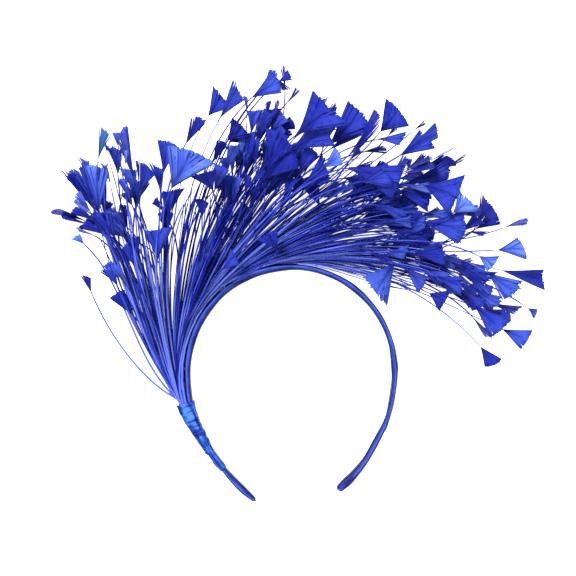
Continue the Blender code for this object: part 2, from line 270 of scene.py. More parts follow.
def straight_rod(sides, lengths, capped=True):
    rod = bmesh.new()
    bmesh.ops.create_cone(
        rod, cap_ends=capped, cap_tris=False, segments=sides, radius1=1, radius2=1, depth=1
    )
    heights = {edge: abs(edge.verts[0].co.z - edge.verts[1].co.z) for edge in rod.edges}
    long_edges = [edge for edge in rod.edges if heights[edge] > HALF_ROD]
    bmesh.ops.subdivide_edges(rod, edges=long_edges, cuts=lengths - 1, use_grid_fill=True)
    bmesh.ops.translate(rod, verts=rod.verts, vec=(0, 0, HALF_ROD))
    bmesh.ops.triangulate(rod, faces=rod.faces)
    rod.verts.index_update()
    places = np.array([vert.co for vert in rod.verts])
    faces = np.array([[vert.index for vert in face.verts] for face in rod.faces])
    rod.free()
    return Rod(places, faces)


# %% Joined copies
def joined(name, faces, copies, **marks):
    """One mesh from copies of a shape, an array of (copy, vertex, xyz), with a number at each
    vertex for each mark."""
    count, each = copies.shape[:2]
    every = faces[None] + each * np.arange(count)[:, None, None]
    mesh = bpy.data.meshes.new(name)
    mesh.from_pydata(copies.reshape(-1, 3).tolist(), [], every.reshape(-1, 3).tolist())
    for mark, values in marks.items():
        attribute = mesh.attributes.new(mark, "FLOAT", "POINT")
        attribute.data.foreach_set("value", np.asarray(values, np.float32).ravel())
    mesh.shade_smooth()
    made = bpy.data.objects.new(name, mesh)
    bpy.context.scene.collection.objects.link(made)
    print(name, "has", len(every.reshape(-1, 3)), "triangles")
    return made


# %% [markdown]
# ## Shader arithmetic
#
# A finish is easier to read as a sum than as a web of nodes. `Wire` stands for one output of a
# node: sums and products of wires add Math nodes, and `node` makes any other node from its type,
# its settings and what goes into its sockets. Some sockets share a name, so those go by number.

# %% The Wire class
MIX_SHARE = 0
MIX_FIRST = 6
MIX_SECOND = 7
MIX_OUT = 2
CLOUD_DETAIL = 3.0
CLOUD_MIDDLE = 0.5


class Wire:
    """One output of a shader node."""

    def __init__(self, tree, socket=None):
        self.tree = tree
        self.socket = socket

    def node(self, kind, settings, sockets, out=0):
        made = self.tree.nodes.new(kind)
        for name, value in settings.items():
            if name == "stops":
                lay_stops(made.color_ramp, value)
            else:
                setattr(made, name, value)
        for name, value in sockets.items():
            self.plug(value, made.inputs[name])
        return Wire(self.tree, made.outputs[out])

    def plug(self, value, socket):
        if isinstance(value, Wire):
            self.tree.links.new(value.socket, socket)
        else:
            socket.default_value = value

    def maths(self, operation, first, second):
        return self.node("ShaderNodeMath", {"operation": operation}, {0: first, 1: second})

    def __add__(self, other):
        return self.maths("ADD", self, other)

    def __sub__(self, other):
        return self.maths("SUBTRACT", self, other)

    def __rsub__(self, other):
        return self.maths("SUBTRACT", other, self)

    def __mul__(self, other):
        return self.maths("MULTIPLY", self, other)

    def __pow__(self, other):
        return self.maths("POWER", self, other)

    __radd__ = __add__
    __rmul__ = __mul__

    def mark(self, name):
        """A number that the mesh holds at each vertex."""
        return self.node("ShaderNodeAttribute", {"attribute_name": name}, {}, out="Fac")

    def noise(self, where, scale, detail):
        return self.node("ShaderNodeTexNoise", {}, {"Vector": where, "Scale": scale, "Detail": detail})

    def clouds(self, scale):
        """Cloudy noise on Object coordinates, with 0 in its middle."""
        where = self.node("ShaderNodeTexCoord", {}, {}, out="Object")
        return self.noise(where, scale, CLOUD_DETAIL) - CLOUD_MIDDLE

    def ramp(self, stops):
        return self.node("ShaderNodeValToRGB", {"stops": stops}, {"Fac": self})

    def between(self, first, second):
        """A colour between two, with this wire as the share of the second."""
        sockets = {MIX_SHARE: self, MIX_FIRST: first, MIX_SECOND: second}
        return self.node("ShaderNodeMix", {"data_type": "RGBA"}, sockets, out=MIX_OUT)


# %% Colours and new finishes
MID_GREY = (128, 128, 128)


def lay_stops(ramp, stops):
    """Colour stops as (place, sRGB colour from 0 to 255)."""
    while len(ramp.elements) < len(stops):
        ramp.elements.new(1.0)
    for element, (place, colour) in zip(ramp.elements, stops):
        element.position = place
        element.color = linear(*colour)


def linear(red, green, blue):
    """A screen colour from 0 to 255 as a shader's linear colour, by the sRGB formula."""
    shares = [value / 255 for value in (red, green, blue)]
    return tuple(s / 12.92 if s <= 0.04045 else ((s + 0.055) / 1.055) ** 2.4 for s in shares) + (1.0,)


def new_finish(name, **fixed):
    """A material, a wire to start its sums from, and its shader, with these sockets set."""
    material = bpy.data.materials.new(name)
    material.use_nodes = True
    shader = material.node_tree.nodes["Principled BSDF"]
    for socket, value in fixed.items():
        shader.inputs[socket.replace("_", " ")].default_value = value
    return material, Wire(material.node_tree), shader


print("a screen's mid grey is", round(linear(*MID_GREY)[0], 2), "in linear light")

# %% [markdown]
# ## Satin
#
# Satin is woven with long threads on top. It is smooth along them and catches light in long soft
# streaks. An image of cloth would have to be cut to each piece, so noise makes it. Both satin
# finishes read marks that the rods carry, the length along the piece and the distance round it, so
# the streaks run with the cloth wherever the piece bends. Noise that is stretched along the piece
# gives the streaks, and a finer one the pull of the threads. The streaks lighten the colour as a
# painted sheen, and they also change the roughness and the bumps. A third mark, `tone`, adds the
# painted highlights and painted shade that each piece asks for.

# %% The satin finish
STREAK_SCALE = 1.1
STREAK_DETAIL = 3.0
STREAK_SHARE = 0.8
STREAK_GLOSS = 0.25
THREAD_SCALE = 6.0
THREAD_DETAIL = 2.0
SATIN_SHEEN = 0.08
SATIN_STOPS = (0.2, 0.5, 0.75)
SATIN_BUMP = 0.35
BUMP_DEPTH = 0.3 * MM


def satin(name, colours, roughness, stretch):
    """A satin finish from its deep, middle and bright colour."""
    material, wire, shader = new_finish(name, Specular_IOR_Level=SATIN_SHEEN)
    along, around = wire.mark("along"), wire.mark("around")
    flow = wire.node("ShaderNodeCombineXYZ", {}, {"X": along * stretch, "Y": around, "Z": 0.0})
    streaks = wire.noise(flow, STREAK_SCALE, STREAK_DETAIL)
    threads = wire.noise(flow, THREAD_SCALE, THREAD_DETAIL)
    # The streak noise paints sheen into the colour, and the tone mark adds each piece's painted
    # highlights and painted shade.
    tone = streaks * STREAK_SHARE + threads * (1 - STREAK_SHARE) + wire.mark("tone")
    wire.plug(tone.ramp(tuple(zip(SATIN_STOPS, colours))), shader.inputs["Base Color"])
    wire.plug(streaks * -STREAK_GLOSS + roughness, shader.inputs["Roughness"])
    relief = {"Height": tone, "Strength": SATIN_BUMP, "Distance": BUMP_DEPTH}
    wire.plug(wire.node("ShaderNodeBump", {}, relief), shader.inputs["Normal"])
    return material


ROYAL_BLUES = ((12, 19, 78), (30, 44, 124), (60, 80, 172))
AZURE_BLUES = ((4, 16, 80), (24, 58, 144), (66, 116, 212))
BAND_SATIN = satin("royal_satin", ROYAL_BLUES, roughness=0.48, stretch=0.10)
TAPE_SATIN = satin("azure_satin", AZURE_BLUES, roughness=0.46, stretch=0.12)
print("finishes made:", BAND_SATIN.name, "and", TAPE_SATIN.name)

# %% [markdown]
# ## The band
#
# The real band is a flat spring core with a little padding, covered with satin. It lies on its
# side, so the picture shows its edge. A curve with a bevel would give a plain strap, but not the
# padding, so a rod with many sides is bent along the band's line, and its circle is pushed out to a
# rounded rectangle. The left tip is pinched to a point and the right end is rounded off. Long soft
# bulges show where the padding moves under the satin, and two folds cross the right leg. The
# `tone` mark paints a highlight streak along the top, painted shadows beside the folds, painted
# shade along both edges, and painted shade before the right end, which stands for a hollow there.

# %% Soft steps, humps and corners
def ease(value, low, high):
    """0 up to the low end, 1 from the high end on, and a smooth climb between them."""
    share = np.clip((value - low) / (high - low), 0, 1)
    return share * share * (3 - 2 * share)


def hump(value, place, reach):
    """A soft hump that is 1 at this place and fades out over about this reach."""
    return np.exp(-(((value - place) / reach) ** 2))


def rounded(share):
    """The rise of a quarter circle, from 0 to 1."""
    return np.sqrt(1 - (1 - np.clip(share, 0, 1)) ** 2)


def squared(turn, power):
    """A circle's cosine and sine, pushed out towards a rounded rectangle's."""
    cos, sin = np.cos(turn), np.sin(turn)
    return np.sign(cos) * np.abs(cos) ** power, np.sign(sin) * np.abs(sin) ** power


# %% The band's sizes
BAND_WIDTH = 8.0 * MM
BAND_SIDES = 32
BAND_LENGTHS = 230
BAND_CORNERS = 0.6
TIP_LENGTH = 12 * MM
TIP_PINCH = 0.35
TIP_BREADTH = 2.0 * MM
TIP_REACH = 34 * MM
END_LENGTH = 2.2 * MM
END_SHARE = 0.45
TAPE_FROM = 28 * MM
TAPE_TO = 72 * MM
BOUND_RISE = 0.7 * MM
BOUND_EASE = 9 * MM
BOUND_SHRINK = 0.3


def band_span(along):
    """The band's lowest and highest height, pressed narrower where the tape binds it."""
    bound = ease(along, TAPE_FROM - BOUND_EASE, TAPE_FROM)
    bound = bound * (1 - ease(along, TAPE_TO, TAPE_TO + BOUND_EASE))
    return bound * BOUND_RISE, BAND_WIDTH - bound * BOUND_RISE


print("under the tape the band spans", [round(z / MM, 1) for z in band_span(TAPE_TO)], "mm")

# %% The padding under the satin
BULGE = 0.16 * MM
BULGE_LENGTH = 9 * MM
RIPPLE_SHARE = 0.6
RIPPLE_LENGTH = 4.1 * MM
RIPPLE_TWIST = 2
BULGE_TWIST = 2
FOLD_PLACES = (293 * MM, 330 * MM)
FOLD_HEIGHT = 0.4 * MM
FOLD_REACH = 3 * MM
INNER_SWELL = 0.6 * MM
SWELL_BEGINS = (80 * MM, 120 * MM)
SWELL_ENDS = (170 * MM, 210 * MM)
FACING = 0.2


def band_swell(along, turn):
    """How far padding and folds push the satin out, and the inner side where the bundle presses."""
    ripple = RIPPLE_SHARE * np.sin(along / RIPPLE_LENGTH + turn * RIPPLE_TWIST)
    bulge = np.sin(along / BULGE_LENGTH + BULGE_TWIST * np.sin(turn)) + ripple
    calm = ease(along, 0, TIP_LENGTH) * np.clip((BAND_LENGTH - along) / END_LENGTH, 0, 1)
    swell = BULGE * bulge * calm
    for place in FOLD_PLACES:
        swell = swell + FOLD_HEIGHT * hump(along, place, FOLD_REACH) * (np.cos(turn) > FACING)
    pressed = ease(along, *SWELL_BEGINS) * (1 - ease(along, *SWELL_ENDS))
    return swell + INNER_SWELL * pressed * (np.cos(turn) < -FACING)


print("folds cross the band", [round(place / MM) for place in FOLD_PLACES], "mm from its left tip")

# %% Painted light and shade on the band
SHEEN_TONE = 0.42
SHEEN_PLACE = 0.3
SHEEN_BREADTH = 0.22
SHEEN_DRIFT = 0.08
SHEEN_WAVE = 21 * MM
FOLD_DARK = 0.8
FOLD_SHADOW = 5 * MM
EDGE_DARK = 0.45
EDGE_FROM = 0.3
EDGE_TO = 0.8
HOLLOW_DARK = 0.3
END_HOLLOW = 9 * MM
HOLLOW_REACH = 6 * MM
BAND_TONE = 0.02
BAND_ROUND = 2.2


def band_painted_light(along, across, upright):
    """The painted highlight streak on the satin, less the painted shade of folds, edges and the hollow
    end.
    """
    sheen_at = SHEEN_PLACE + SHEEN_DRIFT * np.sin(along / SHEEN_WAVE)
    streak = hump(across, sheen_at, SHEEN_BREADTH) * (upright > 0)
    for place in FOLD_PLACES:
        shadow = hump(along, place - FOLD_SHADOW, FOLD_SHADOW) * (across > SHEEN_PLACE)
        streak = streak - FOLD_DARK * shadow
    # painted shade along both edges, and painted shade before the right end
    edges = EDGE_DARK * ease(np.abs(across), EDGE_FROM, EDGE_TO)
    hollow = HOLLOW_DARK * hump(along, BAND_LENGTH - END_HOLLOW, HOLLOW_REACH)
    return SHEEN_TONE * streak - edges - hollow + BAND_TONE


# %% The band
def satin_band():
    rod = straight_rod(BAND_SIDES, BAND_LENGTHS)
    along = rod.places[:, 2] * BAND_LENGTH
    turn = np.arctan2(rod.places[:, 1], rod.places[:, 0])
    middle, _, out, thickness = band_at(along)
    low, high = band_span(along)
    across, upright = squared(turn, BAND_CORNERS)
    rounding = END_SHARE + (1 - END_SHARE) * rounded((BAND_LENGTH - along) / END_LENGTH)
    pinch = (1 - TIP_PINCH * (1 - ease(along, 0, TIP_LENGTH))) * rounding
    breadth = TIP_BREADTH * (1 - ease(along, 0, TIP_REACH)) * rounded(along / END_LENGTH)
    half = (thickness + breadth) / 2 * rounding + band_swell(along, turn) - BOUND_SHRINK * low
    height = (high - low) * pinch
    places = middle + out * (across * half)[:, None]
    places[:, 2] = low + height / 2 + upright * height / 2
    # the tone mark carries the band's painted highlight and painted shade
    tone = band_painted_light(along, across, upright)
    marks = {"along": along / MM, "around": turn * BAND_ROUND, "tone": tone}
    piece = joined("satin_band", rod.faces, places[None], **marks)
    piece.data.materials.append(BAND_SATIN)
    return piece


band = satin_band()

# %% [markdown]
# ## The tape
#
# Azure satin tape holds the quill ends against the band. It is a soft ribbon, wound at a slant six
# or seven times and pulled tight, so each turn ends in a slanted step, and the cloth is gathered in
# lengthwise folds and pinched into short creases. Two knots stand out on the inner side. A ribbon
# could really be wound, but its turns would cut into each other. So the tape is one open tube
# round the band and the quills, with steps, folds, creases and knots as a relief on it, and the
# Solidify modifier gives it a wall.

# %% The quill bundle that the tape holds
BundleRow = namedtuple("BundleRow", "along width low high")
BUNDLE = rows_of(
    BundleRow,
    (42, 0.5, 2.8, 5.0),
    (52, 2.0, 1.9, 6.0),
    (64, 3.8, 1.3, 6.7),
    (73, 4.6, 1.3, 6.9),
    (84, 6.4, 1.0, 8.6),
    (104, 7.0, 0.8, 9.8),
    (134, 6.6, 0.8, 9.6),
    (166, 5.2, 0.8, 8.4),
    (196, 3.4, 0.8, 6.8),
    (218, 2.0, 1.0, 5.0),
    (229, 0.8, 1.6, 3.6),
)


def bundle_at(along):
    """The quill bundle outside the band: its width, lowest and highest height."""
    table = np.array(BUNDLE) * MM
    return tuple(np.interp(along, table[:, 0], column) for column in table.T[1:])


print("the bundle is up to", max(row.width for row in BUNDLE), "mm wide")

# %% Steps, folds, creases and knots of the tape
TAPE_TURNS = 6.5
TAPE_STEP = 0.26 * MM
STEP_POWER = 1.5
STEP_MIDDLE = 0.35
FoldRow = namedtuple("FoldRow", "round along phase strength")
TAPE_FOLDS = rows_of(
    FoldRow,
    (7, 4, 0.0, 0.6),
    (11, -9, 1.0, 0.4),
)
TAPE_FOLD = 0.32 * MM
FOLDS_FULL = 0.1
PINCH_SEED = 4
PINCHES = 38
PINCH_DEPTH = 0.14 * MM
PINCH_SHARES = (0.5, 0.98)
PINCH_TURNS = (0.5, 2.5)
PINCH_SLANT = 0.02
PINCH_SIZE = (0.008, 0.26)
TAPE_KNOTS = (0.44, 0.56)
KNOT_HEIGHT = 0.9 * MM
KNOT_REACH = 0.035
LOWEST_RELIEF = -0.2 * MM
HIGHEST_RELIEF = 0.9 * MM


def lengthwise_folds(share, turn):
    """How far the gathered cloth stands up, as a sum of waves round the tape."""
    return sum(
        fold.strength * np.sin(turn * fold.round + share * fold.along + fold.phase)
        for fold in TAPE_FOLDS
    )


def pinches(share, turn):
    """How deep the cloth is pinched into short creases, from 0 to 1."""
    throw = np.random.default_rng(PINCH_SEED)
    depth = share * 0
    for _ in range(PINCHES):
        at, to = throw.uniform(*PINCH_SHARES), throw.uniform(*PINCH_TURNS)
        slanted = at + throw.normal(0, PINCH_SLANT) * (turn - to)
        crease = hump(share, slanted, PINCH_SIZE[0]) * hump(turn, to, PINCH_SIZE[1])
        depth = np.maximum(depth, crease)
    return depth


def tape_relief(share, turn, folds, creases):
    """How far the tape stands out from a smooth tube."""
    step = (share * TAPE_TURNS - turn / math.tau) % 1.0
    relief = TAPE_STEP * (step**STEP_POWER - STEP_MIDDLE)
    relief = relief + TAPE_FOLD * folds * ease(share, 0, FOLDS_FULL) - PINCH_DEPTH * creases
    for knot in TAPE_KNOTS:
        relief = relief + KNOT_HEIGHT * hump(share, knot, KNOT_REACH) * np.clip(-np.cos(turn), 0, 1)
    return np.clip(relief, LOWEST_RELIEF, HIGHEST_RELIEF)


# %% Painted light and shade on the tape
LIT_TONE = 0.24
LIT_SHARE = 0.82
LIT_LENGTH = 0.14
LIT_TURN = 1.3
LIT_BREADTH = 0.7
RIM_DARK = 0.25
RIM_POWER = 4
SUNK_DARK = 0.14
SUNK_DEPTH = 0.3 * MM
SUNK_RANGE = 0.9 * MM
FOLD_TONE = 0.14
CREASE_DARK = 0.36
TAPE_TONE = 0.06
TAPE_ROUND = 3.0


def tape_painted_light(share, turn, relief, folds, creases):
    """Painted highlights on the upper face and the folds, painted shade at the rim, in the steps and in
    the creases.
    """
    lit = hump(share, LIT_SHARE, LIT_LENGTH) * hump(turn, LIT_TURN, LIT_BREADTH)
    sunk = 1 - (relief + SUNK_DEPTH) / SUNK_RANGE
    dark = RIM_DARK * np.abs(np.cos(turn)) ** RIM_POWER + SUNK_DARK * sunk**2 + CREASE_DARK * creases
    return LIT_TONE * lit + FOLD_TONE * folds - dark + TAPE_TONE


# %% The tape
TAPE_SIDES = 40
TAPE_LENGTHS = 160
TAPE_CORNERS = 0.5
TAPE_COVER = 2.6 * MM
TAPE_SLANT = 0.6 * MM
SLANT_FROM = 0.75
TAPE_LEAN = 0.8 * MM
TAPE_FLARE = 1.0 * MM
FLARE_FROM = 0.6
TAPE_WAIST = 0.8 * MM
TAPE_WALL = 0.3 * MM
TOP_RELIEF = 0.6
CLOTH = 0.35 * MM
INWARD = -1.0
GAP = 0.3 * MM
COVER_FROM = BUNDLE[0].along * MM
COVER_EASE = 2 * MM
TABLE_CLEAR = 0.05 * MM


def wound_tape():
    rod = straight_rod(TAPE_SIDES, TAPE_LENGTHS, capped=False)
    share = rod.places[:, 2]
    turn = np.arctan2(rod.places[:, 1], rod.places[:, 0])
    along = TAPE_FROM + (TAPE_TO + TAPE_COVER - TAPE_FROM) * share
    along = along - np.cos(turn) * TAPE_SLANT * ease(share, SLANT_FROM, 1.0)
    along = along + np.sin(turn) * TAPE_LEAN * np.sin(share * math.pi)
    middle, _, out, thickness = band_at(along)
    quills = (bundle_at(along)[0] + 2 * GAP) * ease(along, COVER_FROM - COVER_EASE, COVER_FROM)
    flare = TAPE_FLARE * ease(share, FLARE_FROM, 1.0)
    waist = TAPE_WAIST * np.sin(math.pi * share) ** 2
    side = thickness / 2 + GAP + TAPE_WALL
    inner, outer = -side, side + quills + flare - waist
    across, upright = squared(turn, TAPE_CORNERS)
    folds, creases = lengthwise_folds(share, turn), pinches(share, turn)
    relief = tape_relief(share, turn, folds, creases)
    places = middle + out * ((inner + outer) / 2 + across * ((outer - inner) / 2 + relief))[:, None]
    places[:, 2] = BAND_WIDTH / 2 + upright * (BAND_WIDTH / 2 + relief * TOP_RELIEF)
    places[:, 2] = np.maximum(places[:, 2], TABLE_CLEAR)
    # the tone mark carries the tape's painted highlights and painted shade
    tone = tape_painted_light(share, turn, relief, folds, creases)
    marks = {"along": along / MM, "around": turn * TAPE_ROUND, "tone": tone}
    piece = joined("wound_tape", rod.faces, places[None], **marks)
    wall = piece.modifiers.new("wall", "SOLIDIFY")
    wall.thickness = CLOTH
    wall.offset = INWARD
    piece.data.materials.append(TAPE_SATIN)
    return piece


tape = wound_tape()

# %% [markdown]
# ## The chart of feathers
#
# Every feather that can be told apart has a row: the pixel where its fan starts, the fan's height
# over the table in millimetres, its heading in degrees, its length in pixels, half of its opening
# angle as it is seen, and its tone, from 0 for the darkest blue to 1 for the palest. Heights are
# chosen by what lies over what. A particle system would scatter feathers faster, but it would put
# none of them where the real ones are.

# %% Left feathers
FeatherRow = namedtuple("FeatherRow", "px_x px_y lift heading length_px half_angle tone")
LEFT_FEATHERS = rows_of(
    FeatherRow,
    (88, 222, 2, 157, 38, 6, 0.1),
    (92, 225, 4, 166, 32, 5, 0.2),
    (97, 237, 5, 155, 23, 5, 0.1),
    (84, 244, 3, 139, 12, 24, 0.9),
    (93, 216, 34, 140, 25, 8, 0.7),
    (92, 214, 34, 124, 26, 9, 0.8),
    (96, 222, 12, 144, 27, 13, 0.3),
    (106, 220, 10, 95, 20, 16, 0.2),
    (98, 216, 8, 118, 26, 6, 0.2),
    (95, 211, 16, 127, 47, 6, 0.15),
    (96, 211, 14, 119, 50, 8, 0.34),
    (97, 210, 18, 111, 48, 9, 0.5),
    (99, 212, 46, 93, 47, 14, 0.7),
    (92, 184, 22, 111, 29, 7, 0.4),
    (111, 187, 12, 101, 24, 8, 0.1),
    (98, 160, 40, 79, 32, 8, 1.0),
    (105, 181, 18, 84, 18, 8, 0.3),
    (108, 156, 26, 105, 14, 4, 0.1),
    (118, 176, 20, 93, 29, 16, 0.2),
    (118, 147, 30, 98, 15, 16, 0.75),
    (134, 180, 26, 103, 52, 8, 0.5),
    (139, 186, 20, 90, 27, 3, 0.1),
    (125, 168, 50, 88, 18, 8, 0.75),
    (139, 192, 36, 70, 28, 15, 0.3),
    (132, 205, 44, 111, 29, 9, 0.5),
    (133, 207, 14, 122, 17, 16, 0.5),
    (120, 206, 24, 78, 23, 4, 0.1),
    (139, 199, 30, 60, 20, 5, 0.1),
    (112, 237, 8, 145, 32, 20, 0.1),
    (116, 240, 28, 120, 32, 15, 0.3),
    (128, 231, 18, 103, 28, 10, 0.1),
    (160, 190, 14, 98, 25, 14, 0.3),
    (162, 206, 8, 92, 38, 4, 0.2),
    (163, 174, 32, 81, 34, 17, 0.45),
    (166, 235, 10, 90, 25, 18, 0.1),
    (168, 215, 22, 88, 25, 20, 0.1),
    (163, 211, 6, 127, 15, 16, 0.1),
    (172, 211, 26, 76, 24, 9, 0.1),
    (157, 261, 30, 86, 33, 22, 0.45),
    (140, 270, 20, 115, 32, 20, 0.3),
    (118, 287, 16, 113, 27, 17, 0.45),
    (134, 316, 8, 128, 30, 18, 0.1),
    (146, 300, 22, 112, 22, 14, 0.25),
    (92, 294, 10, 112, 21, 9, 0.1),
    (148, 247, 14, 155, 28, 5, 0.1),
)
print(len(LEFT_FEATHERS), "left feathers charted")

# %% Middle feathers
MIDDLE_FEATHERS = rows_of(
    FeatherRow,
    (171, 189, 54, 60, 44, 28, 0.72),
    (185, 145, 24, 60, 32, 12, 0.3),
    (208, 116, 10, 56, 25, 28, 0.35),
    (220, 118, 34, 59, 35, 15, 0.5),
    (247, 116, 16, 91, 21, 6, 0.1),
    (212, 164, 30, 66, 26, 11, 0.3),
    (227, 141, 18, 47, 22, 30, 0.1),
    (227, 142, 12, 10, 14, 12, 0.1),
    (232, 176, 18, 88, 31, 10, 0.15),
    (251, 134, 40, 80, 24, 17, 0.45),
    (254, 136, 30, 72, 24, 9, 0.3),
    (255, 150, 22, 72, 42, 11, 0.1),
    (262, 132, 26, 70, 26, 16, 0.15),
    (276, 132, 16, 35, 21, 17, 0.2),
    (262, 150, 14, 52, 38, 20, 0.1),
    (251, 98, 46, 32, 33, 19, 0.55),
    (260, 92, 28, 48, 27, 12, 0.5),
    (285, 93, 2, 91, 28, 5, 0.15),
    (278, 82, 12, 32, 15, 20, 0.2),
    (276, 77, 14, -52, 17, 12, 0.2),
    (286, 104, 12, 46, 21, 9, 0.1),
    (268, 116, 24, 92, 15, 12, 0.2),
    (273, 116, 20, 72, 17, 9, 0.1),
    (213, 191, 42, 118, 21, 30, 0.3),
    (214, 192, 36, 73, 28, 16, 0.45),
    (214, 190, 28, 45, 17, 18, 0.1),
    (202, 218, 26, 92, 19, 20, 0.1),
    (228, 208, 30, 85, 28, 6, 0.1),
    (240, 165, 12, 75, 35, 16, 0.15),
    (244, 171, 20, 60, 26, 20, 0.1),
    (255, 205, 20, 58, 60, 16, 0.15),
    (262, 180, 34, 45, 45, 20, 0.06),
    (297, 134, 50, 37, 43, 28, 0.3),
    (297, 178, 30, 66, 34, 14, 0.3),
    (262, 172, 24, 62, 34, 20, 0.2),
    (270, 160, 36, 75, 30, 22, 0.2),
    (256, 165, 30, 95, 26, 16, 0.2),
    (292, 150, 40, 30, 40, 22, 0.4),
    (329, 145, 26, 46, 47, 21, 0.3),
    (329, 150, 16, 33, 35, 11, 0.15),
    (350, 160, 34, 59, 55, 7, 0.15),
    (323, 168, 52, 38, 22, 22, 0.8),
    (350, 160, 30, 44, 15, 12, 0.4),
    (362, 152, 26, 8, 25, 8, 0.1),
    (320, 207, 18, 115, 32, 20, 0.1),
    (300, 190, 24, 40, 36, 20, 0.3),
    (345, 196, 14, 20, 34, 20, 0.2),
    (360, 182, 44, 8, 30, 18, 0.4),
)
print(len(MIDDLE_FEATHERS), "middle feathers charted")

# %% Right feathers
RIGHT_FEATHERS = rows_of(
    FeatherRow,
    (380, 132, 12, 51, 30, 30, 0.3),
    (387, 137, 20, 50, 16, 8, 0.1),
    (377, 139, 32, 2, 26, 16, 0.45),
    (399, 156, 38, 33, 47, 8, 0.42),
    (399, 156, 36, 30, 35, 18, 0.42),
    (412, 132, 24, 40, 18, 5, 0.1),
    (425, 163, 12, 22, 34, 3, 0.5),
    (417, 172, 14, 24, 39, 10, 0.12),
    (398, 179, 18, 10, 27, 18, 0.15),
    (440, 172, 14, 33, 32, 4, 0.1),
    (404, 170, 24, 22, 30, 10, 0.15),
    (404, 184, 20, 14, 49, 12, 0.15),
    (402, 174, 28, 15, 34, 9, 0.2),
    (347, 167, 36, -15, 56, 17, 0.3),
    (343, 178, 22, -5, 26, 20, 0.3),
    (424, 185, 46, -18, 36, 29, 0.38),
    (408, 209, 18, 38, 26, 18, 0.1),
    (453, 213, 48, 38, 21, 31, 0.85),
    (452, 214, 22, 5, 30, 12, 0.1),
    (476, 229, 8, 72, 34, 13, 0.1),
    (476, 229, 9, 34, 27, 20, 0.12),
    (461, 232, 32, 38, 23, 17, 0.2),
    (503, 228, 12, 22, 27, 8, 0.45),
    (467, 232, 26, 0, 20, 7, 0.45),
    (497, 250, 36, 4, 28, 21, 0.85),
    (421, 222, 40, -7, 46, 18, 0.45),
    (385, 225, 26, -8, 45, 20, 0.1),
    (383, 212, 14, 0, 38, 14, 0.1),
    (479, 256, 50, -30, 18, 27, 0.8),
    (501, 270, 2, -15, 45, 12, 0.3),
    (487, 272, 44, -37, 35, 20, 0.7),
    (528, 308, 2, -36, 11, 24, 0.8),
    (466, 283, 14, -20, 28, 14, 0.1),
    (455, 280, 24, -30, 26, 10, 0.3),
    (429, 293, 16, -26, 19, 32, 0.3),
    (474, 305, 30, -41, 38, 18, 0.5),
    (472, 316, 12, -51, 28, 9, 0.3),
    (502, 329, 24, -24, 29, 20, 0.65),
    (480, 346, 2, -49, 25, 20, 0.3),
    (488, 302, 18, -19, 32, 9, 0.3),
    (395, 262, 30, -122, 37, 25, 0.72),
    (405, 269, 22, -40, 26, 18, 0.55),
    (398, 192, 28, -10, 34, 22, 0.3),
    (388, 246, 12, 6, 34, 20, 0.2),
    (414, 252, 34, -8, 32, 18, 0.3),
    (417, 240, 10, 8, 18, 14, 0.1),
    (444, 263, 20, -14, 32, 18, 0.25),
    (450, 286, 8, -23, 33, 14, 0.2),
    (436, 276, 42, -24, 28, 18, 0.4),
    (462, 268, 26, -24, 30, 18, 0.3),
    (414, 258, 6, -30, 28, 18, 0.15),
    (372, 206, 20, 4, 34, 20, 0.2),
    (356, 222, 8, 12, 30, 18, 0.1),
)
print(len(RIGHT_FEATHERS), "right feathers charted")

# %% Tufts between the fans, and small fans that lie on the quills
TUFTS = rows_of(
    FeatherRow,
    (484, 309, 22, -17, 29, 12, 0.35),
    (313, 121, 38, 56, 27, 9, 0.3),
    (318, 122, 30, 42, 25, 9, 0.2),
    (408, 172, 12, 84, 14, 14, 0.2),
    (466, 214, 30, 4, 9, 28, 0.15),
)
TOP_FEATHERS = rows_of(
    FeatherRow,
    (278, 250, 28, 125, 20, 30, 0.1),
    (222, 270, 26, 48, 20, 22, 0.4),
    (206, 264, 24, 70, 12, 20, 0.5),
)
print(len(TUFTS), "tufts and", len(TOP_FEATHERS), "small fans charted")

# %% [markdown]
# The heart of the spray is too dense to tell every fan apart. There the chart is filled up with
# feathers that a seeded generator scatters over a few ellipses, lower on the whole than the charted
# ones, with headings that turn with the spray. Bare quills are scattered among them. Where the
# picture shows the table between the quills, a gap keeps the fans away.

# %% Patches that are filled, and gaps that stay open
PatchRow = namedtuple("PatchRow", "px_x px_y reach_x reach_y fans bare heading")
LEFT_PATCHES = rows_of(
    PatchRow,
    (114, 228, 20, 14, 10, 6, 130),
    (104, 214, 8, 8, 3, 2, 110),
    (131, 202, 10, 10, 4, 3, 100),
    (167, 216, 9, 20, 2, 2, 92),
    (134, 290, 12, 26, 2, 7, 118),
)
HEART_PATCHES = rows_of(
    PatchRow,
    (198, 198, 14, 26, 0, 12, 80),
    (240, 195, 24, 34, 12, 14, 74),
    (283, 165, 46, 38, 40, 20, 56),
    (352, 185, 45, 34, 30, 21, 32),
    (408, 212, 44, 34, 38, 18, 2),
    (440, 266, 26, 20, 18, 12, -20),
    (466, 285, 15, 15, 10, 6, -34),
    (424, 284, 20, 10, 0, 9, -18),
    (385, 235, 34, 18, 14, 15, -6),
)
GapRow = namedtuple("GapRow", "px_x px_y reach_x reach_y")
GAPS = rows_of(
    GapRow,
    (253, 143, 9, 12),
    (292, 137, 9, 6),
    (296, 110, 9, 10),
    (385, 155, 15, 8),
    (420, 211, 14, 9),
    (372, 141, 14, 9),
    (401, 161, 7, 7),
    (442, 243, 12, 9),
    (493, 288, 8, 10),
    (468, 311, 8, 8),
    (332, 163, 24, 25),
    (322, 210, 26, 12),
    (356, 207, 14, 8),
    (380, 235, 22, 13),
    (438, 205, 13, 9),
    (405, 262, 12, 7),
    (452, 250, 22, 8),
)
print(sum(patch.fans for patch in LEFT_PATCHES + HEART_PATCHES), "fans may fill the dense parts")

# %% The fill of the dense parts
HEADING_SPREAD = 14
FILL_LIFTS = (4, 34)
FILL_LENGTHS = (18, 32)
FILL_HALF_ANGLES = (9, 19)
FILL_TONES = (0.15, 0.75)
SCATTER_SEED = 11

chance = np.random.default_rng(SCATTER_SEED)


